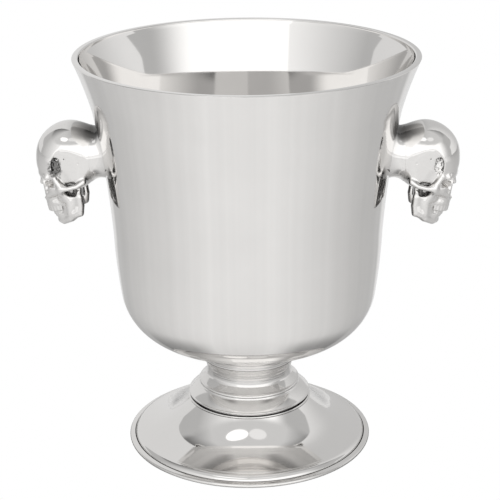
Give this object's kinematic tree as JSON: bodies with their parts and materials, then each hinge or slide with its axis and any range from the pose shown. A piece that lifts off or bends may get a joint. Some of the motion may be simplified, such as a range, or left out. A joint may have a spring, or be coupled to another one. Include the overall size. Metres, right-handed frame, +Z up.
{
  "type": "footed wine cooler",
  "caption": "Polished metal ice bucket for wine: deep flared bowl on a turned, ringed stem and round bell foot, with cast skull handles on opposite sides.",
  "frame": {"origin": "centre of the ring that the foot rests on, on the table plane", "axes": "+Z up along the bowl's axis, +X through the centre of one skull handle, +Y across the bowl between the handles"},
  "size_m": [0.2732, 0.22, 0.265],
  "materials": {
    "polished_cast_aluminium": "mirror polished and silver plated, with fine polishing lines and small casting pits",
    "steel_fasteners": "bright zinc-plated steel",
    "seal_rubber": "matt black rubber"
  },
  "bodies": {
    "root": {"bowl": "polished_cast_aluminium", "stem_neck": "polished_cast_aluminium", "stem_step": "polished_cast_aluminium", "foot": "polished_cast_aluminium", "tie_rod": "steel_fasteners", "foot_washer": "steel_fasteners", "foot_nut": "steel_fasteners", "skull_right": "polished_cast_aluminium", "skull_left": "polished_cast_aluminium", "handle_collar_right": "polished_cast_aluminium", "handle_collar_left": "polished_cast_aluminium", "handle_screws_right": "steel_fasteners", "handle_screws_left": "steel_fasteners", "screw_seals_right": "seal_rubber", "screw_seals_left": "seal_rubber"}
  },
  "joints": []
}
